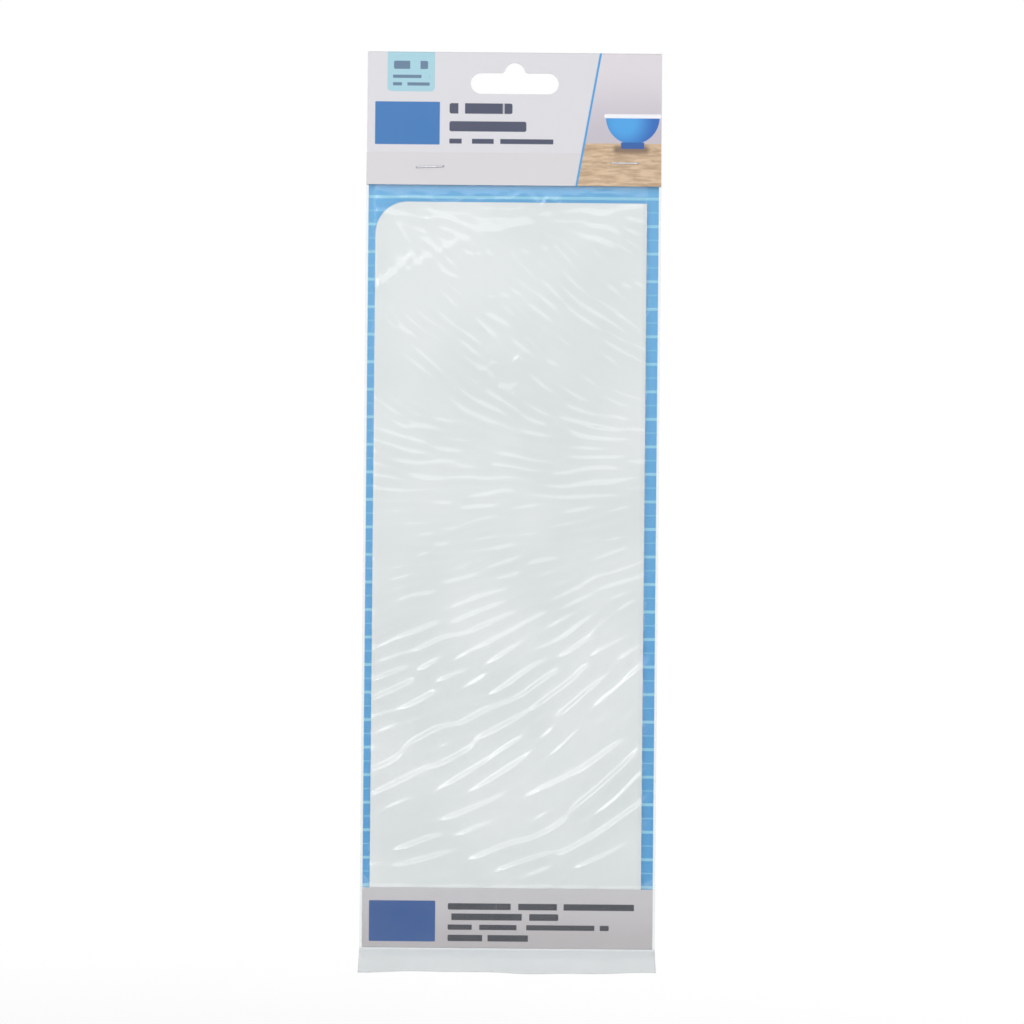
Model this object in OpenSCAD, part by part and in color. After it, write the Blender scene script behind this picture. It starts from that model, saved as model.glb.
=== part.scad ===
// Icing smoother in its hang pack, in millimetres.
// The pack hangs by the slot in its header: X runs across it, the front faces -Y and Z points up.
// The origin is the top of the hang slot, where a display hook carries the pack.

/* [Smoother] */
// Length of the smoother
blade_l = 250; // [200:1:260]
// Width of the smoother across its long edges
blade_w = 93; // [80:0.5:100]
// Thickness of the smoother
blade_t = 1.5; // [1:0.1:2]
// Radius of its two rounded corners
corner_r = 11; // [4:0.5:20]
// Width of the bevel along each long edge
bevel_w = 1.3; // [0.5:0.1:3]
// Depth of that bevel on each face
bevel_d = 0.3; // [0.1:0.05:0.4]
// How far the smoother lies off the middle of its pack
blade_shift = -0.8; // [-1.5:0.1:1.5]
// Height of card that shows between the header and the smoother
blade_reveal = 5.8; // [5.2:0.1:9]

/* [Insert card] */
// Width of card past each long edge of a centred smoother
card_margin = 3.3; // [2.5:0.1:6]
// Thickness of the insert card's board
card_board = 0.4; // [0.3:0.05:0.6]
// Height of the end that is folded up over the front
pocket_h = 20.6; // [12:0.2:40]
// Free height between the smoother and the bottom of the fold
pocket_room = 5.3; // [5.2:0.1:10]
// Inner radius of the two creases at the bottom
crease_r = 0.2; // [0.1:0.05:0.4]
// How far the card's top edge lies below the bag's mouth
card_tuck = 0.5; // [0.2:0.1:2]

/* [Bag] */
// Thickness of the film
film_t = 0.05; // [0.03:0.01:0.1]
// Room in the bag beside each edge of the card
side_room = 0.3; // [0.2:0.05:1]
// Width of the welded border on each side
weld_w = 0.6; // [0.4:0.1:1.2]
// Height of empty film below the card
strip_h = 8.6; // [6:0.2:20]
// How far each side flares out at the bottom weld
flare = 0.5; // [0:0.1:1.5]
// Height over which the film climbs to the folded-up end of the card
pocket_ramp = 6; // [3:0.5:12]
// Height over which the film comes down below the card
hem_ramp = 3.4; // [2:0.2:5]

/* [Header card] */
// How far the header reaches past the insert card on each side
header_overhang = 0.7; // [0:0.1:2]
// Height from the top fold down to the bag's mouth
mouth_drop = 34.5; // [26:0.5:60]
// Height of bag that the header covers
header_lap = 11.3; // [9:0.1:16]
// Thickness of the header's board
header_board = 0.35; // [0.25:0.05:0.5]
// Inner radius of the top fold
fold_r = 0.15; // [0.1:0.05:0.2]

/* [Hang slot] */
// Overall width of the slot
slot_w = 30.2; // [24:0.2:36]
// Height of the slot's two wings
slot_h = 7.2; // [5:0.1:9]
// Radius of the round hump that centres the hook
hump_r = 3.5; // [3:0.1:5]
// Radius of the fillet at each foot of the hump
hump_fillet = 1.2; // [0.5:0.1:2]
// Height of card left above the slot
slot_top = 3.6; // [2.5:0.1:8]

/* [Staples] */
// Distance between a staple's two legs
staple_span = 9.1; // [7:0.1:13]
// Diameter of the wire
wire_d = 0.5; // [0.4:0.05:0.7]
// Radius of the wire's bends, on its centre line
staple_bend = 0.4; // [0.35:0.05:0.5]
// Gap between the tips of the two clinched legs
clinch_gap = 1.9; // [0.5:0.1:3]
// Distance of the left staple from the card's left edge
left_inset = 21; // [12:0.1:30]
// Distance of the right staple from the card's right edge
right_inset = 11.9; // [9:0.1:30]
// Height from the bag's mouth down to the left staple
left_drop = 5.1; // [2:0.1:8]
// Height from the bag's mouth down to the right staple
right_drop = 3.3; // [2:0.1:8]
// Tilt of the left staple in degrees, its right end up
left_tilt = 2.6; // [-5:0.1:5]

/* [Fit] */
// Gap between layers that lie on each other
layer_gap = 0.1; // [0.06:0.01:0.2]
// Gap on each side of the smoother, so that it slides
blade_gap = 0.15; // [0.1:0.01:0.3]
// Gap between a staple's leg and its hole
leg_gap = 0.1; // [0.05:0.01:0.15]

/* [Hidden] */
arc_steps = 6;
slot_steps = 16;
through = 1;

// Widths across the pack
card_w = blade_w + 2 * card_margin;
tray_w = card_w + 2 * side_room;
bag_w = tray_w + 2 * weld_w;
header_w = card_w + 2 * header_overhang;
blade_left = blade_shift - blade_w / 2;
blade_right = blade_shift + blade_w / 2;

// Drops, measured down from the header's top fold
header_h = mouth_drop + header_lap;
blade_top = header_h + blade_reveal;
blade_bottom = blade_top + blade_l;
card_top = mouth_drop + card_tuck;
card_bottom = blade_bottom + pocket_room + card_board;
pocket_top = card_bottom - pocket_h;
bag_bottom = card_bottom + strip_h;
slant_end = header_h + layer_gap;
hem_start = card_bottom + layer_gap;

// Depths, from the middle of the insert card: the front is negative
card_front = -card_board / 2;
seam = card_board / 2 + layer_gap;
rear_leaf = seam + film_t + layer_gap;
blade_back = card_front - blade_gap;
blade_front = blade_back - blade_t;
pocket_back = blade_front - blade_gap;
pocket_front = pocket_back - card_board;
film_at_mouth = card_front - layer_gap;
film_at_pocket = pocket_front - layer_gap;
leaf_at_mouth = film_at_mouth - film_t - layer_gap;
leaf_at_hem = pocket_back - film_t - layer_gap;

// Staples: how deep the crown lies in front and the clinch behind
wire_r = wire_d / 2;
leaf_slope = (leaf_at_hem - leaf_at_mouth) / header_lap;
clinch_depth = rear_leaf + header_board + layer_gap + wire_r;
clinch_l = staple_span / 2 - staple_bend - clinch_gap / 2;
left_x = left_inset - card_w / 2;
right_x = card_w / 2 - right_inset;

// Height of a drop below the top fold
function level(drop) = slot_top - drop;

// Depth of a staple's crown, so that it lies on the slanting leaf at that drop below the mouth
function crown_depth(drop, tilt) =
    leaf_at_mouth + leaf_slope * (drop + staple_span / 2 * abs(sin(tilt)))
    - (header_board + wire_r) / cos(atan(leaf_slope)) - layer_gap / 2;

// Points of an arc from angle a to angle b
function arc(centre, r, a, b, steps = arc_steps) =
    [for (i = [0:steps]) centre + r * [cos(a + (b - a) * i / steps), sin(a + (b - a) * i / steps)]];
function past_first(p) = [for (i = [1:len(p) - 1]) p[i]];

// A path moved to its right-hand side by t, with mitred corners
function right_of(v) = [v[1], -v[0]] / norm(v);
function mitre(p, i, t) =
    let (before = right_of(i == 0 ? p[1] - p[0] : p[i] - p[i - 1]),
         after = right_of(i == len(p) - 1 ? p[i] - p[i - 1] : p[i + 1] - p[i]),
         middle = (before + after) / norm(before + after))
    p[i] + middle * t / (middle * before);
function beside(p, t) = [for (i = [0:len(p) - 1]) mitre(p, i, t)];

// Outline of a sheet of thickness t that follows a path
function sheet(p, t) = concat(p, [for (i = [len(p) - 1:-1:0]) mitre(p, i, t)]);

// A profile in Y and Z, drawn out across the pack
module across(w) {
    rotate([90, 0, 90]) linear_extrude(w, center = true) children();
}

// An outline in X and Z, given thickness t in front of the depth y_back
module upright(y_back, t) {
    translate([0, y_back, 0]) rotate([90, 0, 0]) linear_extrude(t) children();
}

// The smoother: a flat plate whose long edges are bevelled on both faces
module blade_outline() {
    translate([blade_left, level(blade_bottom)]) {
        translate([corner_r, 0]) square([blade_w - corner_r, blade_l]);
        translate([0, corner_r]) square([corner_r + through, blade_l - 2 * corner_r]);
        translate([corner_r, corner_r]) circle(corner_r, $fn = 96);
        translate([corner_r, blade_l - corner_r]) circle(corner_r, $fn = 96);
    }
}

module blade_section() {
    polygon([
        [blade_left, blade_front + bevel_d],
        [blade_left + bevel_w, blade_front],
        [blade_right - bevel_w, blade_front],
        [blade_right, blade_front + bevel_d],
        [blade_right, blade_back - bevel_d],
        [blade_right - bevel_w, blade_back],
        [blade_left + bevel_w, blade_back],
        [blade_left, blade_back - bevel_d],
    ]);
}

module scraper_blade() {
    color([0.93, 0.95, 0.94]) intersection() {
        upright(blade_back, blade_t) blade_outline();
        translate([0, 0, level(blade_bottom)]) linear_extrude(blade_l) blade_section();
    }
}

// The insert card: one board, creased twice at the bottom and folded up in front of the smoother
module card_profile() {
    inner_bottom = level(card_bottom - card_board) + crease_r;
    polygon(sheet(concat(
        [[pocket_back, level(pocket_top)]],
        arc([pocket_back + crease_r, inner_bottom], crease_r, 180, 270),
        arc([card_front - crease_r, inner_bottom], crease_r, 270, 360),
        [[card_front, level(card_top)]]), card_board));
}

module insert_card() {
    color([0.45, 0.7, 0.87]) difference() {
        across(card_w) card_profile();
        leg_holes();
    }
}

// The hang slot: two wings with round ends, and a round hump above them on filleted feet
function right_half_of_slot() =
    let (wing_x = slot_w / 2 - slot_h / 2,
         foot_x = sqrt(pow(hump_r + hump_fillet, 2) - pow(hump_fillet, 2)),
         foot_angle = asin(hump_fillet / (hump_r + hump_fillet)))
    concat(
        arc([0, -hump_r], hump_r, 90, foot_angle, slot_steps),
        past_first(arc([foot_x, hump_fillet - hump_r], hump_fillet, 180 + foot_angle, 270)),
        arc([wing_x, -hump_r - slot_h / 2], slot_h / 2, 90, -90, slot_steps));

module slot_outline() {
    half = right_half_of_slot();
    polygon(concat(half, [for (i = [len(half) - 1:-1:1]) [-half[i][0], half[i][1]]]));
}

// The header: one board folded over the bag's mouth, its front leaf leaning out over the bag
module header_profile() {
    fold_centre = [rear_leaf - fold_r, slot_top - header_board - fold_r];
    polygon(sheet(concat(
        [[rear_leaf, level(header_h)]],
        arc(fold_centre, fold_r, 0, 180),
        [[leaf_at_mouth, level(mouth_drop)], [leaf_at_hem, level(header_h)]]), header_board));
}

module header_card() {
    color([0.88, 0.87, 0.9]) difference() {
        across(header_w) header_profile();
        upright(clinch_depth, clinch_depth - leaf_at_hem + header_board + through) slot_outline();
        leg_holes();
    }
}

// The bag's front film: a shallow tray over the smoother, joined to a deeper one over the pocket
function blade_tray() = [
    [-tray_w / 2, seam],
    [-card_w / 2 - layer_gap, film_at_mouth],
    [blade_left - blade_gap, pocket_back],
    [blade_right + blade_gap, pocket_back],
    [card_w / 2 + layer_gap, film_at_mouth],
    [tray_w / 2, seam],
];
function pocket_tray() = [
    [-tray_w / 2, seam],
    [-card_w / 2 - layer_gap, film_at_pocket],
    [card_w / 2 + layer_gap, film_at_pocket],
    [tray_w / 2, seam],
];
function blade_rise(rim) = [
    [film_at_mouth, level(mouth_drop) + rim],
    [film_at_mouth, level(mouth_drop)],
    [pocket_back, level(slant_end)],
    [pocket_back, level(pocket_top)],
];
function pocket_rise() = [
    [seam, level(pocket_top - layer_gap - pocket_ramp)],
    [film_at_pocket, level(pocket_top - layer_gap)],
    [film_at_pocket, level(hem_start)],
    [seam, level(hem_start + hem_ramp)],
];

// A path with a flat border at both ends, in the direction of out
function bordered(p, out) = concat([p[0] - out], p, [p[len(p) - 1] + out]);

// The space under a path, down to the depth named back
function under(p, axis, back) =
    let (last = p[len(p) - 1],
         first = p[0])
    concat(p, axis == 0 ? [[last[0], back], [first[0], back]] : [[back, last[1]], [back, first[1]]]);

// A tray that rises along Z as one path says and has the other path as its section
module tray(section, rise, back) {
    intersection() {
        translate([0, 0, level(bag_bottom) - through])
            linear_extrude(bag_bottom - mouth_drop + 3 * through) polygon(under(section, 0, back));
        across(bag_w + 2 * flare + 4 * through) polygon(under(rise, 1, back));
    }
}

module bag_outline() {
    polygon([
        [-bag_w / 2, level(mouth_drop)],
        [bag_w / 2, level(mouth_drop)],
        [bag_w / 2, level(card_bottom)],
        [bag_w / 2 + flare, level(bag_bottom)],
        [-bag_w / 2 - flare, level(bag_bottom)],
        [-bag_w / 2, level(card_bottom)],
    ]);
}

module bag_front_film() {
    border = [weld_w + flare + through, 0];
    hem = [0, -strip_h - through];
    color([0.9, 0.94, 0.97], 0.35) difference() {
        intersection() {
            upright(seam, seam - film_at_pocket + through) bag_outline();
            union() {
                tray(beside(bordered(blade_tray(), border), film_t), beside(blade_rise(through), film_t), seam);
                tray(beside(bordered(pocket_tray(), border), film_t), beside(bordered(pocket_rise(), hem), film_t), seam);
            }
        }
        tray(blade_tray(), blade_rise(through), seam + through);
        tray(pocket_tray(), pocket_rise(), seam + through);
        leg_holes();
    }
}

// The bag's rear film, flat behind the card and welded to the front film's border
module bag_rear_film() {
    color([0.9, 0.94, 0.97], 0.35) difference() {
        upright(seam + film_t, film_t) bag_outline();
        leg_holes();
    }
}

// One staple: a crown, two legs and two clinched ends, from a crown at the origin to legs along +Y
module staple(leg_l) {
    straight = staple_span / 2 - staple_bend;
    translate([-straight, 0, 0]) rotate([0, 90, 0]) cylinder(r = wire_r, h = 2 * straight, $fn = 24);
    for (side = [0, 1]) mirror([side, 0, 0]) translate([straight, 0, 0]) {
        translate([0, staple_bend, 0]) rotate([0, 0, -90]) wire_bend();
        translate([staple_bend, staple_bend, 0]) rotate([-90, 0, 0])
            cylinder(r = wire_r, h = leg_l - 2 * staple_bend, $fn = 24);
        translate([0, leg_l - staple_bend, 0]) wire_bend();
        translate([-clinch_l, leg_l, 0]) rotate([0, 90, 0]) cylinder(r = wire_r, h = clinch_l, $fn = 24);
    }
}

module wire_bend() {
    rotate_extrude(angle = 90, $fn = 48) translate([staple_bend, 0]) circle(wire_r, $fn = 24);
}

// The place of a staple: the middle of its crown
module at_staple(x, drop, tilt) {
    translate([x, crown_depth(drop, tilt), level(mouth_drop + drop)]) rotate([0, -tilt, 0]) children();
}

// Where the four legs pass through the header, the films and the card
module leg_holes() {
    at_staple(left_x, left_drop, left_tilt) leg_pair();
    at_staple(right_x, right_drop, 0) leg_pair();
}

module leg_pair() {
    for (side = [-1, 1]) translate([side * staple_span / 2, 0, 0]) rotate([-90, 0, 0])
        cylinder(r = wire_r + leg_gap, h = clinch_depth - leaf_at_hem + through, $fn = 32);
}

module staple_left() {
    color([0.72, 0.72, 0.74]) at_staple(left_x, left_drop, left_tilt)
        staple(clinch_depth - crown_depth(left_drop, left_tilt));
}

module staple_right() {
    color([0.72, 0.72, 0.74]) at_staple(right_x, right_drop, 0)
        staple(clinch_depth - crown_depth(right_drop, 0));
}

scraper_blade();
insert_card();
header_card();
staple_left();
staple_right();
bag_front_film();
bag_rear_film();
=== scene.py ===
# %% [markdown]
# # An icing smoother in its hang pack
# The object is a flat white plate that smooths the icing on a tall cake. It is sold in a clear film bag
# with a printed card behind it and a folded header card stapled over the bag's mouth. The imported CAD
# parts load first and never move. What this script adds is the finish of each part, and the two films
# of the bag, which are limp and wrinkled, so they are modelled here and stand for the plain CAD films.

import math

import bmesh
import bpy
import numpy as np
from mathutils import Matrix, Vector


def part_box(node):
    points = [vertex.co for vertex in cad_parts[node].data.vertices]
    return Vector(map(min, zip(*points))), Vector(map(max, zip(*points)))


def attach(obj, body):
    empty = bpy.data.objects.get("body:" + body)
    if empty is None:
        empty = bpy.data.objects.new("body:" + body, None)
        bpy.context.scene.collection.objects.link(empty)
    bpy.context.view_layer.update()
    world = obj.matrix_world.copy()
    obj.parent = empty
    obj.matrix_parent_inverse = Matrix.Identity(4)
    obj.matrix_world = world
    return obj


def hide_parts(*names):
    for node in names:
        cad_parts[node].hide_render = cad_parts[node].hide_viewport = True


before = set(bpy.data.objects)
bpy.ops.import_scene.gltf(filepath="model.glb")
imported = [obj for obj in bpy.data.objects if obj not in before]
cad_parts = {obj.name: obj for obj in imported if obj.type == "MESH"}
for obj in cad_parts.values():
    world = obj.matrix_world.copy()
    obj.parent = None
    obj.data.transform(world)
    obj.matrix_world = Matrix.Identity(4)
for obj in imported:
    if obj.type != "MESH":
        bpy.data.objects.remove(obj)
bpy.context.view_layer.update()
MM = 0.001


# %% [markdown]
# ## Sizes read from the frame
# Every place on a pack is easiest to say as a drop below the header's top edge, as a ruler would read
# it. So `height` turns a drop in millimetres into the frame's Z in metres.

# %% Measure the CAD parts
header_lo, header_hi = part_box("header_card")
card_lo, card_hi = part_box("insert_card")
blade_lo, blade_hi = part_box("scraper_blade")
front_lo, front_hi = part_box("bag_front_film")
rear_lo, rear_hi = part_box("bag_rear_film")


def height(drop):
    """Z in metres of a drop in millimetres below the header's top edge."""
    return header_hi.z - drop * MM


def drop_of(z):
    """Drop in millimetres of a height in metres."""
    return (header_hi.z - z) / MM


HEADER_HEM = drop_of(header_lo.z)
MOUTH = drop_of(front_hi.z)
BLADE_TOP = drop_of(blade_hi.z)
CARD_BOTTOM = drop_of(card_lo.z)
BAG_BOTTOM = drop_of(front_lo.z)
CARD_HALF = card_hi.x / MM
BLADE_LEFT, BLADE_RIGHT = blade_lo.x / MM, blade_hi.x / MM
BLADE_FRONT = blade_lo.y / MM
POCKET_FRONT = card_lo.y / MM
FOLD_UP = 20.6
BAND_TOP = CARD_BOTTOM - FOLD_UP
print(f"header {HEADER_HEM:.1f} mm high, smoother from {BLADE_TOP:.1f},"
      f" card to {CARD_BOTTOM:.1f}, bag to {BAG_BOTTOM:.1f}")


# %% [markdown]
# ## Small helpers for nodes
# A printed card is many flat shapes of ink. Each shape is a mask that is 1 inside and 0 outside, and a
# Mix node lays its colour over what lies below. The helpers keep each step to one line.

# %% Node helpers
def linear(*rgb):
    """A colour seen on screen as 0 to 255 values, as the linear colour that a node takes."""
    return tuple((c / 255 / 12.92) if c <= 10 else ((c / 255 + 0.055) / 1.055) ** 2.4 for c in rgb) + (1.0,)


def wire(tree, value, socket):
    """Feeds an input from an output socket, or sets it to a plain value."""
    if isinstance(value, bpy.types.NodeSocket):
        tree.links.new(value, socket)
    else:
        socket.default_value = value


def math_node(tree, operation, a, b=0.0):
    node = tree.nodes.new("ShaderNodeMath")
    node.operation = operation
    wire(tree, a, node.inputs[0])
    wire(tree, b, node.inputs[1])
    return node.outputs[0]


def ramp(tree, value, low, high, out_low=0.0, out_high=1.0):
    """Turns low..high into out_low..out_high on a smooth curve."""
    node = tree.nodes.new("ShaderNodeMapRange")
    node.interpolation_type = "SMOOTHSTEP"
    for socket, v in zip(node.inputs[:5], (value, low, high, out_low, out_high)):
        wire(tree, v, socket)
    return node.outputs[0]


def lay(tree, below, ink, mask):
    """Lays a colour of ink over what is below it, where the mask is 1."""
    node = tree.nodes.new("ShaderNodeMix")
    node.data_type = "RGBA"
    wire(tree, mask, node.inputs["Factor"])
    wire(tree, below, node.inputs["A"])
    wire(tree, ink, node.inputs["B"])
    return node.outputs["Result"]


def noise(tree, vector, scale, detail, roughness):
    node = tree.nodes.new("ShaderNodeTexNoise")
    wire(tree, vector, node.inputs["Vector"])
    wire(tree, scale, node.inputs["Scale"])
    wire(tree, detail, node.inputs["Detail"])
    wire(tree, roughness, node.inputs["Roughness"])
    return node.outputs["Fac"]


def stretch(tree, vector, size):
    """Stretches a pattern along its axes with a Mapping node."""
    node = tree.nodes.new("ShaderNodeMapping")
    node.vector_type = "TEXTURE"
    wire(tree, vector, node.inputs["Vector"])
    wire(tree, size, node.inputs["Scale"])
    return node.outputs["Vector"]


def new_group(name, inputs, outputs):
    """A shader node group with named sockets, and its two end nodes."""
    group = bpy.data.node_groups.new(name, "ShaderNodeTree")
    for label, kind, value in inputs:
        socket = group.interface.new_socket(label, in_out="INPUT", socket_type=kind)
        socket.default_value = value
    for label, kind in outputs:
        group.interface.new_socket(label, in_out="OUTPUT", socket_type=kind)
    return group, group.nodes.new("NodeGroupInput").outputs, group.nodes.new("NodeGroupOutput").inputs


def use(tree, group, **values):
    """Puts a group in a material; the keywords name its inputs, with _ for a space."""
    node = tree.nodes.new("ShaderNodeGroup")
    node.node_tree = group
    for label, value in values.items():
        wire(tree, value, node.inputs[label.replace("_", " ")])
    return node.outputs


print("colour check, mid grey:", [round(c, 3) for c in linear(128, 128, 128)])


# %% [markdown]
# ## One group prints every box
# A block of ink, a rounded tab and a bar are all a box with a corner radius, seen from the front. The
# distance to such a box is worked out once, in a group, and every print uses it with its own centre and
# size in metres.

# %% The printed box group
box_group, box_in, box_out = new_group(
    "printed box",
    [("Position", "NodeSocketVector", (0, 0, 0)), ("Centre", "NodeSocketVector", (0, 0, 0)),
     ("Half size", "NodeSocketVector", (0.01, 1, 0.01)), ("Corner", "NodeSocketFloat", 0.0),
     ("Softness", "NodeSocketFloat", 0.00012)],
    [("Mask", "NodeSocketFloat")])


def vector_math(tree, operation, a, b=None, out="Vector"):
    node = tree.nodes.new("ShaderNodeVectorMath")
    node.operation = operation
    wire(tree, a, node.inputs[0])
    if b is not None:
        wire(tree, b, node.inputs[1])
    return node.outputs[out]


def fill_box_group(tree, given, out):
    offset = vector_math(tree, "SUBTRACT", given["Position"], given["Centre"])
    seen = vector_math(tree, "MULTIPLY", offset, (1, 0, 1))
    past = vector_math(tree, "SUBTRACT", vector_math(tree, "ABSOLUTE", seen), given["Half size"])
    corner = tree.nodes.new("ShaderNodeCombineXYZ")
    for axis in ("X", "Z"):
        wire(tree, given["Corner"], corner.inputs[axis])
    grown = vector_math(tree, "MAXIMUM", vector_math(tree, "ADD", past, corner.outputs[0]), (0, 0, 0))
    distance = vector_math(tree, "LENGTH", grown, out="Value")
    beyond = math_node(tree, "SUBTRACT", distance, given["Corner"])
    parts = tree.nodes.new("ShaderNodeSeparateXYZ")
    wire(tree, past, parts.inputs[0])
    square = math_node(tree, "MAXIMUM", parts.outputs["X"], parts.outputs["Z"])
    edge = math_node(tree, "MAXIMUM", beyond, square)
    inner = math_node(tree, "MULTIPLY", given["Softness"], -1)
    wire(tree, ramp(tree, edge, inner, given["Softness"], 1.0, 0.0), out["Mask"])


fill_box_group(box_group, box_in, box_out)


def printed(tree, position, left, right, top, bottom, corner=0.0, softness=0.12):
    """The mask of a box between two places across the pack and two drops, all in millimetres."""
    centre = ((left + right) / 2 * MM, 0, (height(top) + height(bottom)) / 2)
    half = ((right - left) / 2 * MM, 1, (bottom - top) / 2 * MM)
    return use(tree, box_group, Position=position, Centre=centre, Half_size=half, Corner=corner * MM,
               Softness=softness * MM)["Mask"]


print("printed box group:", len(box_group.nodes), "nodes")


# %% [markdown]
# ## Board, on both cards
# Coated board has a faint mottle in its print and a fibre texture that only the light shows. Both cards
# are made of it, so its mottle and its relief come from one group. The relief goes to a Bump node in
# each material.

# %% The board group
board_group, board_in, board_out = new_group(
    "coated board",
    [("Position", "NodeSocketVector", (0, 0, 0)), ("Mottle", "NodeSocketFloat", 0.04)],
    [("Shade", "NodeSocketFloat"), ("Relief", "NodeSocketFloat"), ("Roughness", "NodeSocketFloat")])


def fill_board_group(tree, given, out):
    cloud = noise(tree, given["Position"], 60.0, 4.0, 0.6)
    fibres = noise(tree, stretch(tree, given["Position"], (1, 1, 0.25)), 1400.0, 3.0, 0.7)
    broad = math_node(tree, "MULTIPLY", cloud, 0.7)
    both = math_node(tree, "ADD", broad, math_node(tree, "MULTIPLY", fibres, 0.3))
    swing = math_node(tree, "MULTIPLY", math_node(tree, "SUBTRACT", both, 0.5), given["Mottle"])
    wire(tree, math_node(tree, "ADD", swing, 1.0), out["Shade"])
    wire(tree, fibres, out["Relief"])
    wire(tree, ramp(tree, both, 0.3, 0.7, 0.34, 0.46), out["Roughness"])


fill_board_group(board_group, board_in, board_out)
print("coated board group:", len(board_group.nodes), "nodes")


def new_material(name):
    """A material with its Principled shader, and the object's own coordinates."""
    material = bpy.data.materials.new(name)
    material.use_nodes = True
    tree = material.node_tree
    shader = tree.nodes["Principled BSDF"]
    position = tree.nodes.new("ShaderNodeTexCoord").outputs["Object"]
    return material, tree, shader, position


def split(tree, vector):
    node = tree.nodes.new("ShaderNodeSeparateXYZ")
    wire(tree, vector, node.inputs[0])
    return node.outputs["X"], node.outputs["Y"], node.outputs["Z"]


def bump(tree, shader, relief, strength, depth):
    """A Bump node between a relief and the shader's Normal; depth is in metres."""
    node = tree.nodes.new("ShaderNodeBump")
    node.inputs["Strength"].default_value = strength
    node.inputs["Distance"].default_value = depth
    wire(tree, relief, node.inputs["Height"])
    wire(tree, node.outputs["Normal"], shader.inputs["Normal"])


def shaded(tree, colour, shade):
    """A colour made lighter or darker by a shade near 1."""
    node = tree.nodes.new("ShaderNodeVectorMath")
    node.operation = "SCALE"
    wire(tree, colour, node.inputs[0])
    wire(tree, shade, node.inputs["Scale"])
    return node.outputs["Vector"]


PLAIN_BOARD = linear(222, 221, 224)


def finish_board(tree, shader, position, print_colour, front):
    """Board: its printed front, where the front mask is 1, and its plain back."""
    board = use(tree, board_group, Position=position, Mottle=0.05)
    colour = lay(tree, PLAIN_BOARD, print_colour, front)
    wire(tree, shaded(tree, colour, board["Shade"]), shader.inputs["Base Color"])
    wire(tree, board["Roughness"], shader.inputs["Roughness"])
    bump(tree, shader, board["Relief"], 0.25, 0.00003)


# %% [markdown]
# ## Lines of print
# From a step away, small print on a board reads as rows of dark marks of uneven length. Each row is one
# bar, and one noise along it cuts the gaps, which is less work than placing every mark by hand.

# %% Bars of print
BAR_CORNER = 0.2
GAPS_PER_M = 190.0


def print_bars(tree, position, colour, ink, lines, seed):
    """Lays one broken bar for each line over a colour."""
    x, _, _ = split(tree, position)
    for number, (left, right, top, bottom) in enumerate(lines):
        bar = printed(tree, position, left, right, top, bottom, corner=(bottom - top) * BAR_CORNER)
        along = math_node(tree, "ADD", math_node(tree, "MULTIPLY", x, GAPS_PER_M), seed + 7.3 * number)
        gap_noise = tree.nodes.new("ShaderNodeTexNoise")
        gap_noise.noise_dimensions = "1D"
        wire(tree, along, gap_noise.inputs["W"])
        wire(tree, 1.0, gap_noise.inputs["Scale"])
        wire(tree, 0.0, gap_noise.inputs["Detail"])
        kept = ramp(tree, gap_noise.outputs["Fac"], 0.31, 0.34)
        colour = lay(tree, colour, ink, math_node(tree, "MULTIPLY", bar, kept))
    return colour


print(f"a bar's corner is {BAR_CORNER} of its height")


# %% [markdown]
# ## The header's print
# Pale grey board with a light tab, a plain blue block, three lines of bars, and a picture panel
# behind a slanted blue line. The panel holds a plain picture of our own in the colours of such a panel:
# a blue bowl with a white rim on a tan table, before a grey wall. The masks read Object coordinates, so
# the print stays on the board at any pose.

# %% Header material
# left, right, top and bottom of each line, in millimetres
HEADER_LINES = [(-22.3, -0.7, 17.6, 21.2), (-22.3, 4.1, 23.8, 27.3), (-22.3, 13.4, 29.8, 31.5)]
TAB_LINES = [(-41.5, -29.8, 3.2, 6.0), (-41.8, -29.2, 8.0, 9.1), (-41.8, -29.2, 10.6, 11.7)]
DIVIDER_TOP, DIVIDER_FOOT, DIVIDER_W = 29.5, 21.4, 0.75
NAVY = linear(60, 66, 90)


def divider_side(tree, position):
    """How far a point lies to the right of the slanted line, in metres."""
    x, _, z = split(tree, position)
    lean = (DIVIDER_TOP - DIVIDER_FOOT) / HEADER_HEM
    below_top = math_node(tree, "SUBTRACT", z, height(0))
    line_x = math_node(tree, "ADD", math_node(tree, "MULTIPLY", below_top, lean), DIVIDER_TOP * MM)
    return math_node(tree, "SUBTRACT", x, line_x)


BOWL_X, BOWL_RIM, BOWL_R = 40.6, 22.0, 9.2
BOWL_FOOT = BOWL_RIM + BOWL_R
TABLE_EDGE = 31.0


def disc(tree, position, across, drop, radius, soft=0.1):
    """The mask of a disc with a centre, a radius and a soft edge, in millimetres."""
    offset = vector_math(tree, "SUBTRACT", position, (across * MM, 0, height(drop)))
    flat = vector_math(tree, "MULTIPLY", offset, (1, 0, 1))
    distance = vector_math(tree, "LENGTH", flat, out="Value")
    return ramp(tree, distance, (radius - soft) * MM, (radius + soft) * MM, 1.0, 0.0)


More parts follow.
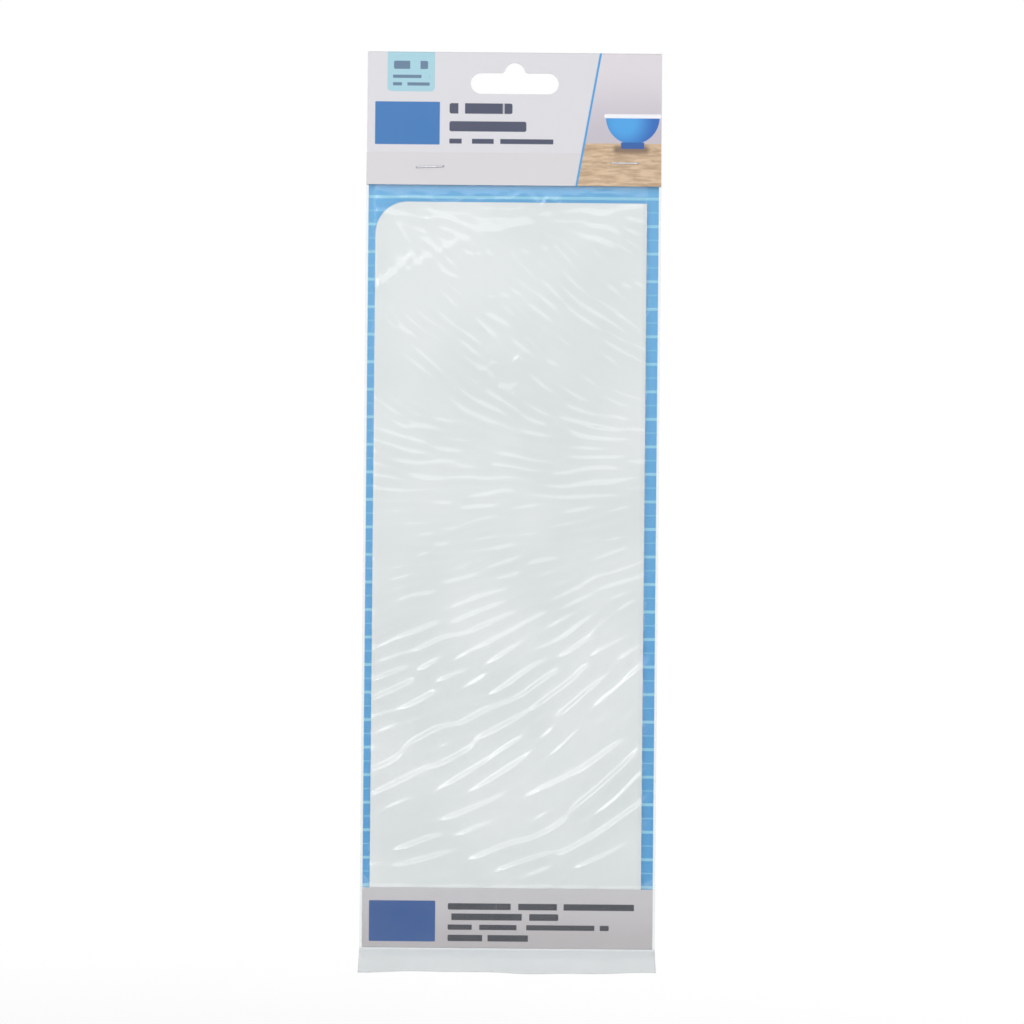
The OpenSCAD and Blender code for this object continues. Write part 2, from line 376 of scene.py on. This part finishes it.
def picture_panel(tree, position, colour):
    side = divider_side(tree, position)
    _, _, z = split(tree, position)
    inside = ramp(tree, side, 0.0, 0.0001)
    wall = lay(tree, linear(190, 184, 194), linear(214, 209, 214), ramp(tree, z, height(30), height(4)))
    grain = noise(tree, stretch(tree, position, (6, 1, 1)), 900.0, 4.0, 0.6)
    wood = lay(tree, linear(176, 148, 116), linear(210, 182, 150), ramp(tree, grain, 0.35, 0.65))
    on_table = ramp(tree, z, height(TABLE_EDGE + 0.1), height(TABLE_EDGE - 0.1), 1.0, 0.0)
    scene = lay(tree, wall, wood, on_table)
    body = disc(tree, position, BOWL_X, BOWL_RIM, BOWL_R)
    lower = ramp(tree, z, height(BOWL_RIM + 0.1), height(BOWL_RIM - 0.1), 1.0, 0.0)
    shine = disc(tree, position, BOWL_X - 3.0, BOWL_RIM + 1.5, BOWL_R * 0.75, soft=4.0)
    glaze = lay(tree, linear(20, 96, 178), linear(64, 156, 222), shine)
    shadow = printed(tree, position, BOWL_X - 6.5, BOWL_X + 5.5, BOWL_FOOT + 0.6, BOWL_FOOT + 3.2,
                     corner=1.2, softness=1.0)
    scene = lay(tree, scene, linear(128, 104, 84), shadow)
    scene = lay(tree, scene, glaze, math_node(tree, "MULTIPLY", body, lower))
    foot = printed(tree, position, BOWL_X - 4, BOWL_X + 4, BOWL_FOOT - 0.6, BOWL_FOOT + 1.6, corner=0.4)
    scene = lay(tree, scene, linear(20, 84, 158), foot)
    rim = printed(tree, position, BOWL_X - BOWL_R - 0.6, BOWL_X + BOWL_R + 0.6, BOWL_RIM - 1.1,
                  BOWL_RIM + 0.3, corner=0.6)
    scene = lay(tree, scene, linear(238, 238, 242), rim)
    colour = lay(tree, colour, scene, inside)
    half, off = DIVIDER_W / 2, math_node(tree, "ABSOLUTE", side)
    line = ramp(tree, off, (half - 0.1) * MM, (half + 0.1) * MM, 1.0, 0.0)
    return lay(tree, colour, linear(66, 150, 208), line)


def header_material():
    material, tree, shader, position = new_material("header board")
    _, y, z = split(tree, position)
    # Below the bag's mouth the board is painted a little darker and warmer: painted shade where the front
    # leaf slants out over the bag.
    colour = lay(tree, linear(214, 213, 218), linear(209, 206, 209),
                 ramp(tree, z, height(MOUTH + 0.3), height(MOUTH - 0.3), 1.0, 0.0))
    tab = printed(tree, position, -43.7, -27.4, -3, 13.7, corner=1.5)
    block = printed(tree, position, -47.8, -25.6, 17.2, 31.9, corner=0.3)
    colour = lay(tree, colour, linear(162, 204, 217), tab)
    colour = lay(tree, colour, linear(46, 112, 176), block)
    colour = print_bars(tree, position, colour, NAVY, HEADER_LINES, seed=3.0)
    colour = print_bars(tree, position, colour, linear(92, 120, 146), TAB_LINES, seed=21.0)
    colour = picture_panel(tree, position, colour)
    front = ramp(tree, y, 0.0, 0.0002, 1.0, 0.0)
    finish_board(tree, shader, position, colour, front)
    return material


def dress(node, material):
    """Gives a CAD node its material in every slot; its mesh and place stay as they are."""
    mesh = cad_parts[node].data
    mesh.materials.clear()
    mesh.materials.append(material)
    print(f"{node}: {material.name}, {len(material.node_tree.nodes)} nodes")


dress("header_card", header_material())


# %% [markdown]
# ## The insert card's print
# Blue board crossed by pale rules, thick and thin in turn like the marks of a ruler, and at the bottom
# the end that folds up over the front, printed grey. The rules repeat, so one modulo makes them all.

# %% Insert card material
RULE_FIRST, RULE_PITCH = 49.9, 9.446
BAND_LINES = [(-20.4, 43.9, 291.9, 294.1), (-20.4, 17.5, 295.4, 297.7), (-20.4, 34.8, 299.2, 301.0),
              (-20.4, 8.4, 302.7, 304.9)]


def rule(tree, z, first, width):
    """The mask of a rule of that width in millimetres at every pitch from a first drop."""
    below = math_node(tree, "SUBTRACT", height(first - RULE_PITCH / 2), z)
    within = math_node(tree, "FLOORED_MODULO", below, RULE_PITCH * MM)
    nearest = math_node(tree, "ABSOLUTE", math_node(tree, "SUBTRACT", within, RULE_PITCH / 2 * MM))
    return ramp(tree, nearest, (width / 2 - 0.12) * MM, (width / 2 + 0.12) * MM, 1.0, 0.0)


def insert_material():
    material, tree, shader, position = new_material("insert board")
    _, y, z = split(tree, position)
    colour = lay(tree, linear(74, 164, 222), linear(98, 178, 230),
                 ramp(tree, z, height(CARD_BOTTOM), height(MOUTH)))
    colour = lay(tree, colour, linear(150, 214, 240), rule(tree, z, RULE_FIRST, 1.0))
    colour = lay(tree, colour, linear(124, 198, 234), rule(tree, z, RULE_FIRST + RULE_PITCH / 2, 0.4))
    # The band's grey is print, and it is painted darker towards the fold at the bottom: painted shade where
    # the end curves round.
    band = lay(tree, linear(196, 189, 191), linear(208, 203, 206),
               ramp(tree, z, height(CARD_BOTTOM - 1.5), height(BAND_TOP + 4)))
    block = printed(tree, position, -47.4, -24.7, 291.1, 305.1, corner=0.3)
    band = lay(tree, band, linear(0, 78, 150), block)
    band = print_bars(tree, position, band, linear(44, 46, 58), BAND_LINES, seed=40.0)
    on_band = ramp(tree, y, (BLADE_FRONT - 0.1) * MM, (BLADE_FRONT - 0.05) * MM, 1.0, 0.0)
    colour = lay(tree, colour, band, on_band)
    front = ramp(tree, y, -0.0001, 0.0001, 1.0, 0.0)
    finish_board(tree, shader, position, colour, front)
    return material


dress("insert_card", insert_material())


# %% [markdown]
# ## The smoother
# White plastic with a satin face. It scatters a little light inside, its surface rolls very slightly,
# and fine marks from the mould show as changes in its gloss. A bright bevel along each long edge is in
# the CAD solid.

# %% Smoother material
def smoother_material():
    material, tree, shader, position = new_material("scraper plastic")
    roll = noise(tree, position, 22.0, 2.0, 0.5)
    fine = noise(tree, position, 2600.0, 2.0, 0.6)
    streaks = noise(tree, stretch(tree, position, (1, 1, 14)), 320.0, 3.0, 0.6)
    colour = lay(tree, linear(231, 233, 233), linear(239, 240, 240), ramp(tree, roll, 0.35, 0.65))
    wire(tree, colour, shader.inputs["Base Color"])
    wire(tree, ramp(tree, streaks, 0.3, 0.7, 0.31, 0.35), shader.inputs["Roughness"])
    shader.inputs["IOR"].default_value = 1.49
    shader.inputs["Subsurface Weight"].default_value = 0.08
    shader.inputs["Subsurface Radius"].default_value = (0.6, 0.6, 0.6)
    shader.inputs["Subsurface Scale"].default_value = 0.0008
    slow = math_node(tree, "MULTIPLY", roll, 6.0)
    relief = math_node(tree, "ADD", slow, math_node(tree, "MULTIPLY", fine, 0.2))
    bump(tree, shader, relief, 0.3, 0.00004)
    return material


dress("scraper_blade", smoother_material())


# %% [markdown]
# ## The staples
# Galvanised wire is bright with lengthwise drawing marks. The marks are a noise stretched along X, the
# wire's main run, and they change its roughness and its relief.

# %% Staple material
def staple_material():
    material, tree, shader, position = new_material("staple wire")
    drawn = noise(tree, stretch(tree, position, (8, 1, 1)), 9000.0, 3.0, 0.6)
    spangle = noise(tree, position, 1800.0, 2.0, 0.5)
    colour = lay(tree, linear(184, 184, 190), linear(218, 218, 224), ramp(tree, spangle, 0.35, 0.65))
    wire(tree, colour, shader.inputs["Base Color"])
    shader.inputs["Metallic"].default_value = 1.0
    wire(tree, ramp(tree, drawn, 0.3, 0.7, 0.24, 0.42), shader.inputs["Roughness"])
    bump(tree, shader, drawn, 0.2, 0.00001)
    return material


wire_finish = staple_material()
dress("staple_left", wire_finish)
dress("staple_right", wire_finish)


# %% [markdown]
# ## The shape of the front film
# Clear film lies on what is under it: the card at the sides, the smoother in the middle and the
# folded-up end below. `film_rest` gives that resting depth from the same edges as the CAD parts have.
# Wrinkles then stand proud of it. A cloth simulation of so thin and stiff a film settles into random
# folds, while the photograph shows a clear flow, so the wrinkles are laid by a formula: each one is a
# ridge with its own place, direction, length, width, height and bend, drawn from zones that follow that
# flow.

# %% Resting depth of the film
LAYER_GAP = 0.1
BLADE_GAP = 0.15
SIDE_ROOM = 0.3
FILM_T = (rear_hi.y - rear_lo.y) / MM
SEAM = rear_lo.y / MM
CARD_EDGE = CARD_HALF + LAYER_GAP
TRAY_HALF = CARD_HALF + SIDE_ROOM
AT_MOUTH = -0.3
OVER_BLADE = BLADE_FRONT - BLADE_GAP
OVER_POCKET = POCKET_FRONT - LAYER_GAP
RAMP_TOP, RAMP_HEM = 6.0, 3.4


def film_rest(x, drop):
    """Depth in millimetres of the film's inner face on the card, the smoother and the pocket."""
    blade_edges = [-CARD_EDGE, BLADE_LEFT - BLADE_GAP, BLADE_RIGHT + BLADE_GAP, CARD_EDGE]
    over_blade = np.interp(x, blade_edges, [0, 1, 1, 0])
    climb = np.interp(drop, [MOUTH, HEADER_HEM + LAYER_GAP, BAND_TOP, BAND_TOP + 1], [0, 1, 1, 0])
    at_card = np.interp(np.abs(x), [CARD_EDGE, TRAY_HALF], [AT_MOUTH, SEAM])
    at_card = np.where(drop > CARD_BOTTOM, SEAM, at_card)
    on_blade = at_card + (OVER_BLADE - AT_MOUTH) * over_blade * climb
    top, hem = BAND_TOP - LAYER_GAP, CARD_BOTTOM + LAYER_GAP
    pocket = np.interp(drop, [top - RAMP_TOP, top, hem, hem + RAMP_HEM], [0, 1, 1, 0])
    inside = np.interp(np.abs(x), [CARD_EDGE, TRAY_HALF], [1, 0])
    on_pocket = SEAM + (OVER_POCKET - SEAM) * pocket * inside
    return np.minimum(on_blade, on_pocket)


print(f"film over the smoother at {OVER_BLADE:.2f} mm, over the pocket at {OVER_POCKET:.2f} mm")

# %% Wrinkles
random = np.random.default_rng(11)
# count, across, drop, direction in degrees rising to the right, length, width, height, bend
WRINKLE_ZONES = [
    (16, (-46, 46), (47.4, 51.5), (-28, 28), (7, 16), (0.6, 1.0), (0.22, 0.45), 0.03),
    (12, (-14, 30), (47.2, 52), (-60, 60), (5, 10), (0.5, 0.8), (0.25, 0.45), 0.07),
    (12, (-44, -14), (54, 82), (-75, -15), (6, 16), (0.8, 1.4), (0.12, 0.30), 0.03),
    (8, (-12, 44), (60, 86), (-20, 35), (8, 22), (1.0, 2.0), (0.10, 0.24), 0.012),
    (26, (-40, 40), (86, 132), (-62, -22), (5, 13), (0.7, 1.3), (0.12, 0.30), 0.03),
    (12, (-14, 4), (97, 117), (-90, 60), (4, 8), (0.6, 1.0), (0.16, 0.32), 0.09),
    (18, (-40, 42), (128, 164), (-14, 10), (8, 20), (0.8, 1.4), (0.12, 0.30), 0.012),
    (14, (-40, 43), (160, 206), (8, 30), (8, 22), (0.9, 1.6), (0.12, 0.28), 0.010),
    (40, (-49.3, -46.6), (50, 284), (78, 98), (5, 18), (0.35, 0.6), (0.10, 0.26), 0.006),
    (44, (45.8, 49.3), (50, 284), (70, 102), (5, 16), (0.4, 0.8), (0.10, 0.26), 0.006),
    (14, (-46, 46), (289, 306), (-12, 30), (12, 34), (1.2, 2.4), (0.05, 0.14), 0.006),
]


def one_wrinkle(x, drop, centre, turn, length, width, tall, bend):
    """A soft ridge: long in its own direction, round across it, and bent like a bow."""
    dx, dd = x - centre[0], drop - centre[1]
    along = dx * math.cos(turn) - dd * math.sin(turn)
    across = dx * math.sin(turn) + dd * math.cos(turn) + bend * along ** 2
    return tall * np.exp(-(across / width) ** 2 - (along / length) ** 4)


def wrinkles(x, drop):
    """Height in millimetres by which the film stands off what it lies on."""
    total = np.zeros_like(x)
    for count, x_range, drop_range, turns, lengths, widths, heights, bend in WRINKLE_ZONES:
        for _ in range(count):
            centre = (random.uniform(*x_range), random.uniform(*drop_range))
            turn = math.radians(random.uniform(*turns))
            size = [random.uniform(*pair) for pair in (lengths, widths, heights)]
            sway = random.uniform(-bend, bend)
            total += one_wrinkle(x, drop, centre, turn, size[0] / 2, size[1], size[2], sway)
    return total


print("single wrinkles:", sum(zone[0] for zone in WRINKLE_ZONES))

# %% Creases
# points as across and drop, height, half width
CREASES = [
    ([(-47.4, 81.6), (-37, 75.8), (-27.3, 70.1), (-18.2, 65.5), (-7.9, 62.1), (3.5, 59.3)], 0.34, 1.9),
    ([(3.5, 59.3), (24, 58.1), (33.3, 55.3), (43.6, 53)], 0.22, 1.2),
    ([(-42.2, 56.4), (-37.6, 64.4), (-34.8, 70.1), (-38.8, 74.7), (-44.5, 79.8)], 0.42, 0.9),
    ([(-31.3, 55.3), (-18.2, 59.8), (-2.2, 63.3)], 0.22, 1.5),
    ([(-44.5, 80.4), (-42.5, 92), (-43.5, 104)], 0.26, 1.0),
]
FAR = 99.0


def creases(x, drop):
    """The few creases that run from the top left corner, each along a line of points."""
    total = np.zeros_like(x)
    for points, tall, width in CREASES:
        off = np.full_like(x, FAR)
        for (x0, drop0), (x1, drop1) in zip(points, points[1:]):
            run = np.array([x1 - x0, drop1 - drop0])
            share = np.clip(((x - x0) * run[0] + (drop - drop0) * run[1]) / (run @ run), 0, 1)
            off = np.minimum(off, np.hypot(x - x0 - share * run[0], drop - drop0 - share * run[1]))
        total += tall * np.exp(-np.abs(off / width) ** 1.6)
    return total


print("creases:", len(CREASES))


# %% [markdown]
# Over the smoother the film is never quite flat. Soft folds lie side by side all over it and turn with
# the height: they run down to the right near the top, level in the middle and up to the right below.
# Each patch of folds is a short train of waves that fades out at its rim, and hundreds of patches
# overlap.

# %% Soft folds
# at each drop: direction in degrees rising to the right, then pitch, height and half length
FLOW_DROP = [52, 66, 84, 112, 130, 150, 176, 205, 235, 262, 288]
FLOW_TURN = [14, -48, -44, -38, -12, 2, 15, 26, 33, 32, 12]
FLOW_PITCH = [5.0, 3.6, 3.6, 3.8, 4.0, 4.0, 4.2, 5.4, 7.6, 7.6, 6.4]
FLOW_TALL = [0.10, 0.10, 0.12, 0.13, 0.13, 0.13, 0.12, 0.17, 0.26, 0.26, 0.22]
FLOW_LONG = [9, 4.5, 6, 8, 11, 12, 13, 20, 34, 34, 26]
PATCHES = 760
TURN_JITTER = 9
TURN_PER_MM = 0.12
BOW = 0.004


def soft_folds(x, drop):
    """Overlapping patches of parallel folds that follow the flow, in millimetres."""
    total = np.zeros_like(x)
    for _ in range(PATCHES):
        middle = (random.uniform(-48, 48), random.uniform(50, 290))
        flow = np.interp(middle[1], FLOW_DROP, FLOW_TURN)
        turn = math.radians(flow + random.uniform(-TURN_JITTER, TURN_JITTER) + middle[0] * TURN_PER_MM)
        pitch = np.interp(middle[1], FLOW_DROP, FLOW_PITCH) * random.uniform(0.8, 1.25)
        tall = np.interp(middle[1], FLOW_DROP, FLOW_TALL) * random.uniform(0.4, 1.3)
        half = np.interp(middle[1], FLOW_DROP, FLOW_LONG) * random.uniform(0.7, 1.3)
        phase = random.uniform(0, 2 * math.pi)
        near = np.abs(drop - middle[1]) < 2.2 * half + 6
        dx, dd = x[near] - middle[0], drop[near] - middle[1]
        along = dx * math.cos(turn) - dd * math.sin(turn)
        across = dx * math.sin(turn) + dd * math.cos(turn) + BOW * along ** 2
        rim = np.exp(-(across / (1.1 * pitch)) ** 2 - (along / half) ** 2)
        total[near] += tall * rim * np.cos(2 * math.pi * across / pitch + phase)
    return total


print("patches of soft folds:", PATCHES)


# %% Where the film is free
def freedom(x, drop):
    """Where the film may stand off: not under the header, at its welds, or just at an edge."""
    under_header = np.clip((drop - HEADER_HEM - 0.2) / 2.0, 0, 1)
    at_weld = np.clip((CARD_HALF - 0.1 - np.abs(x)) / 1.2, 0, 1)
    below = np.clip((CARD_BOTTOM - drop) / 2.0, 0, 1)
    return under_header * at_weld * below


def hem_wave(x, drop):
    """How the empty strip below the card waves, as a depth in millimetres, for both films."""
    share = np.clip((drop - CARD_BOTTOM - 1.0) / (BAG_BOTTOM - CARD_BOTTOM - 1.0), 0, 1) ** 1.5
    return share * (0.5 * np.sin(x / 7.5 + 0.6) + 0.28 * np.sin(x / 3.1 + 2.0))


def hem_drop(x, drop):
    """How the bag's lower edge strays from a straight line, in millimetres."""
    share = np.clip((drop - CARD_BOTTOM) / (BAG_BOTTOM - CARD_BOTTOM), 0, 1)
    return share * (0.3 * np.sin(x / 11.0 + 0.4) + 0.12 * np.sin(x / 4.3))


print(f"empty strip below the card: {BAG_BOTTOM - CARD_BOTTOM:.1f} mm")


# %% [markdown]
# ## Making the films
# Each film starts as one bmesh grid. Its columns crowd together at the sides, where the film turns
# round the card's edges, and every vertex then takes its depth from the formulas. Solidify gives the
# sheet its thickness, away from the card, and is applied, so the piece is a closed thin shell.

# %% A grid over the bag
FLARE = 0.5
STRAIGHT_HALF = rear_hi.x / MM - FLARE
WELD_CELLS, TURN_CELLS = 2, 3


def bag_half(drop):
    """Half the bag's width at a drop, which flares a little at the bottom weld."""
    return STRAIGHT_HALF + FLARE * np.clip((drop - CARD_BOTTOM) / (BAG_BOTTOM - CARD_BOTTOM), 0, 1)


def film_grid(name, columns, rows, side_cells):
    """A grid in X and Z as wide and tall as the bag, with side_cells narrow columns at each side."""
    bm = bmesh.new()
    bmesh.ops.create_grid(bm, x_segments=columns, y_segments=rows, size=1.0)
    bm.verts.ensure_lookup_table()
    step = (np.array([vert.co.x for vert in bm.verts]) + 1) / 2 * columns
    up = np.array([vert.co.y for vert in bm.verts])
    drop = MOUTH + (1 - up) / 2 * (BAG_BOTTOM - MOUTH)
    breaks = [0, WELD_CELLS, side_cells - TURN_CELLS, side_cells]
    breaks += [columns - cells for cells in reversed(breaks)]
    places = [-1, -TRAY_HALF, -CARD_EDGE, 1.0 - CARD_HALF]
    places += [-across for across in reversed(places)]
    x = np.interp(step, breaks, places)
    edge = bag_half(drop)
    border = (edge - TRAY_HALF) / WELD_CELLS
    x = np.where(step < WELD_CELLS, -edge + border * step, x)
    x = np.where(step > columns - WELD_CELLS, edge - border * (columns - step), x)
    mesh = bpy.data.meshes.new(name)
    return bm, mesh, x, drop


def film_piece(name, bm, mesh, x, depth, drop, outward):
    """Writes the places into the grid, thickens it away from the card and links the finished piece."""
    for vert, vx, vy, vd in zip(bm.verts, x, depth, drop):
        vert.co = (vx * MM, vy * MM, height(vd))
    bmesh.ops.recalc_face_normals(bm, faces=bm.faces)
    facing = sum(f.normal.y for f in bm.faces)
    if facing * outward < 0:
        bmesh.ops.reverse_faces(bm, faces=bm.faces)
    bm.to_mesh(mesh)
    bm.free()
    piece = bpy.data.objects.new(name, mesh)
    bpy.context.scene.collection.objects.link(piece)
    shell = piece.modifiers.new("thickness", "SOLIDIFY")
    shell.thickness = FILM_T * MM
    shell.offset = 1.0
    with bpy.context.temp_override(object=piece, active_object=piece, selected_objects=[piece]):
        bpy.ops.object.modifier_apply(modifier=shell.name)
    piece.data.polygons.foreach_set("use_smooth", [True] * len(piece.data.polygons))
    piece.data.update()
    corners = np.array([c for v in piece.data.vertices for c in v.co]).reshape(-1, 3) / MM
    near, far = corners[:, 1].min(), corners[:, 1].max()
    print(f"{name}: {len(piece.data.polygons) * 2} triangles, depth {near:.2f} to {far:.2f} mm")
    return piece


print(f"the bag is {2 * STRAIGHT_HALF:.1f} mm wide, and {2 * FLARE:.1f} mm wider at the bottom weld")


# %% Front film
CONTACT = 0.06
LOOSENESS = 0.08
MOST_LIFT = 0.9
bm, mesh, x, drop = film_grid("front_film", 140, 336, 9)
ridges = wrinkles(x, drop) + creases(x, drop)
folds = soft_folds(x, drop) * np.clip((BAND_TOP - drop) / RAMP_TOP, 0, 1)
lifted = CONTACT * np.logaddexp(0, (ridges + folds + LOOSENESS) / CONTACT)
stand_off = np.clip(lifted, 0, MOST_LIFT) * freedom(x, drop)
depth = film_rest(x, drop) - stand_off + hem_wave(x, drop)
front_film = film_piece("front_film", bm, mesh, x, depth, drop + hem_drop(x, drop), -1)

# %% [markdown]
# The rear film is flat against the plain back of the card. It swells a little between the header and
# the bottom weld, in long shallow folds that cross the pack.

# %% Rear film
def rear_folds(x, drop):
    """Depth in millimetres that the rear film adds behind the card."""
    free = np.clip((drop - HEADER_HEM - 1.0) / 6.0, 0, 1) * np.clip((CARD_BOTTOM - drop) / 6.0, 0, 1)
    free = free * np.clip((CARD_HALF - np.abs(x)) / 4.0, 0, 1)
    slow = 0.5 + 0.5 * np.sin(drop / 9.0 + x / 21.0 + 0.8 * np.sin(x / 13.0))
    quick = 0.5 + 0.5 * np.sin(drop / 3.7 - x / 9.0 + 1.3 * np.sin(drop / 17.0))
    return free * (0.5 * slow ** 3 + 0.2 * quick ** 4)


bm, mesh, x, drop = film_grid("rear_film", 90, 240, 7)
depth = np.full_like(x, SEAM) + rear_folds(x, drop) + hem_wave(x, drop)
rear_film = film_piece("rear_film", bm, mesh, x, depth, drop + hem_drop(x, drop), 1)


# %% [markdown]
# ## Clear film
# Film shows what is behind it, veils it slightly, and mirrors the lamps wherever a wrinkle turns
# towards them. A Transparent shader lets the card through, a white Principled shader mixed in by a haze
# mask gives the veil, and a Glossy shader gives the glints. How much the film mirrors grows with the
# angle, by the fifth power of Layer Weight's Facing, which is alike on both sides of a face: a Fresnel
# node would turn the inner face of so thin a sheet into a mirror and shut the light out. The haze is
# stronger in the empty strip at the bottom, where two films lie together with nothing behind them.

# %% Film material
def film_material():
    material, tree, veil, position = new_material("clear film")
    _, _, z = split(tree, position)
    clear = tree.nodes.new("ShaderNodeBsdfTransparent")
    clear.inputs["Color"].default_value = linear(251, 252, 252)
    cloud = noise(tree, position, 45.0, 3.0, 0.55)
    wire(tree, lay(tree, linear(204, 206, 208), linear(222, 224, 226), cloud), veil.inputs["Base Color"])
    wire(tree, ramp(tree, cloud, 0.3, 0.7, 0.22, 0.34), veil.inputs["Roughness"])
    strip = ramp(tree, z, height(CARD_BOTTOM + 1.2), height(CARD_BOTTOM - 0.4), 1.0, 0.0)
    thin = ramp(tree, cloud, 0.3, 0.7, 0.006, 0.016)
    haze = math_node(tree, "ADD", math_node(tree, "MULTIPLY", strip, 0.2), thin)
    body = tree.nodes.new("ShaderNodeMixShader")
    wire(tree, haze, body.inputs["Fac"])
    wire(tree, clear.outputs[0], body.inputs[1])
    wire(tree, veil.outputs[0], body.inputs[2])
    gloss = tree.nodes.new("ShaderNodeBsdfGlossy")
    gloss.inputs["Color"].default_value = (1, 1, 1, 1)
    gloss.inputs["Roughness"].default_value = 0.15
    facing = tree.nodes.new("ShaderNodeLayerWeight")
    facing.inputs["Blend"].default_value = 0.5
    grazing = math_node(tree, "POWER", facing.outputs["Facing"], 5.0)
    mirrored = math_node(tree, "ADD", math_node(tree, "MULTIPLY", grazing, 0.9), 0.024)
    relief = noise(tree, position, 260.0, 3.0, 0.55)
    node = tree.nodes.new("ShaderNodeBump")
    node.inputs["Strength"].default_value = 0.5
    node.inputs["Distance"].default_value = 0.00005
    wire(tree, relief, node.inputs["Height"])
    for shader in (gloss, veil):
        wire(tree, node.outputs["Normal"], shader.inputs["Normal"])
    skin = tree.nodes.new("ShaderNodeMixShader")
    wire(tree, mirrored, skin.inputs["Fac"])
    wire(tree, body.outputs[0], skin.inputs[1])
    wire(tree, gloss.outputs[0], skin.inputs[2])
    wire(tree, skin.outputs[0], tree.nodes["Material Output"].inputs["Surface"])
    return material


clear_film = film_material()
for piece, node in ((front_film, "bag_front_film"), (rear_film, "bag_rear_film")):
    piece.data.materials.append(clear_film)
    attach(piece, "pack")
    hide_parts(node)
print("film material:", len(clear_film.node_tree.nodes), "nodes")


# %% [markdown]
# ## Camera
# The photograph looks straight at the pack through a long lens, and the pack leans half a degree to the
# right. The camera rolls by that half degree instead, because the pack itself stays where the frame has
# it. Where the slot's top appears in the photograph sets the place that the camera looks at.

# %% Set the camera
IMAGE_PX = 1024
PX_PER_MM = 2.914
SLOT_TOP_PX = (515, 63)
LEAN = math.radians(0.52)
DISTANCE = 1.5


def photo_camera():
    data = bpy.data.cameras.new("photo_camera")
    data.sensor_width = 36.0
    data.lens = data.sensor_width * DISTANCE / (IMAGE_PX / PX_PER_MM * MM)
    turn = Matrix.Rotation(math.radians(90), 4, "X") @ Matrix.Rotation(LEAN, 4, "Z")
    right, up = turn.to_3x3() @ Vector((1, 0, 0)), turn.to_3x3() @ Vector((0, 1, 0))
    across = (SLOT_TOP_PX[0] - IMAGE_PX / 2) / PX_PER_MM * MM
    above = (IMAGE_PX / 2 - SLOT_TOP_PX[1]) / PX_PER_MM * MM
    look_at = -(right * across + up * above)
    camera = bpy.data.objects.new("photo_camera", data)
    camera.matrix_world = Matrix.Translation(look_at + Vector((0, -DISTANCE, 0))) @ turn
    bpy.context.scene.collection.objects.link(camera)
    bpy.context.scene.camera = camera
    print(f"lens {data.lens:.1f} mm, looking at {tuple(round(c, 4) for c in look_at)}")


photo_camera()


# %% [markdown]
# ## Light and stage
# A wide bank above the camera gives each fold of the film a soft light side, because flat film mirrors
# past it and only slopes that face up catch it. Narrower boxes at both sides add a few glints, and one
# stands behind. The world is white to the camera and in reflections, and dimmer as light, which keeps
# colours near the values written above.

# %% Lamps
def soft_box(name, at, size, power, target=(0, 0, -0.15)):
    data = bpy.data.lights.new(name, "AREA")
    data.shape = "RECTANGLE"
    data.size, data.size_y = size
    data.energy = power
    lamp = bpy.data.objects.new(name, data)
    aim = Vector(target) - Vector(at)
    lamp.matrix_world = Matrix.Translation(at) @ aim.to_track_quat("-Z", "Y").to_matrix().to_4x4()
    bpy.context.scene.collection.objects.link(lamp)


soft_box("top_bank", (-0.05, -1.3, 0.55), (1.5, 0.8), 7.0)
soft_box("left_box", (-0.95, -1.0, 0.15), (0.5, 0.8), 2.2)
soft_box("upper_left_box", (-0.42, -1.38, 0.22), (0.24, 0.24), 1.2)
soft_box("right_box", (0.55, -1.3, -0.32), (0.2, 0.7), 1.3)
soft_box("back_box", (0.5, 1.1, 0.4), (0.6, 0.6), 9.0)


# %% World and floor
def world_light(level):
    world = bpy.data.worlds.new("studio")
    world.use_nodes = True
    bpy.context.scene.world = world
    tree = world.node_tree
    path = tree.nodes.new("ShaderNodeLightPath")
    seen = math_node(tree, "MAXIMUM", path.outputs["Is Camera Ray"], path.outputs["Is Glossy Ray"])
    seen = math_node(tree, "MAXIMUM", seen, path.outputs["Is Transmission Ray"])
    strength = math_node(tree, "ADD", math_node(tree, "MULTIPLY", seen, 1.0 - level), level)
    background = tree.nodes["Background"]
    background.inputs["Color"].default_value = (1, 1, 1, 1)
    wire(tree, strength, background.inputs["Strength"])


SHADOW_REACH = 0.4


def pale_floor(below):
    """A wide floor under the pack: pale and shadowed near it, and as white as the world further away."""
    bm = bmesh.new()
    bmesh.ops.create_grid(bm, x_segments=1, y_segments=1, size=3.0)
    bmesh.ops.translate(bm, verts=bm.verts, vec=(0, 0, below))
    mesh = bpy.data.meshes.new("floor")
    bm.to_mesh(mesh)
    bm.free()
    floor = bpy.data.objects.new("floor", mesh)
    bpy.context.scene.collection.objects.link(floor)
    material, tree, shader, position = new_material("pale floor")
    shader.inputs["Base Color"].default_value = linear(244, 244, 245)
    shader.inputs["Roughness"].default_value = 0.9
    glow = tree.nodes.new("ShaderNodeEmission")
    path = tree.nodes.new("ShaderNodeLightPath")
    mix = tree.nodes.new("ShaderNodeMixShader")
    away = vector_math(tree, "LENGTH", position, out="Value")
    lifted = ramp(tree, away, SHADOW_REACH, 2 * SHADOW_REACH, 0.7, 1.0)
    wire(tree, math_node(tree, "MULTIPLY", path.outputs["Is Camera Ray"], lifted), mix.inputs["Fac"])
    wire(tree, shader.outputs[0], mix.inputs[1])
    wire(tree, glow.outputs[0], mix.inputs[2])
    wire(tree, mix.outputs[0], tree.nodes["Material Output"].inputs["Surface"])
    mesh.materials.append(material)


world_light(0.48)
pale_floor(-0.37)
bpy.context.scene.view_settings.view_transform = "Standard"
print("view transform:", bpy.context.scene.view_settings.view_transform)
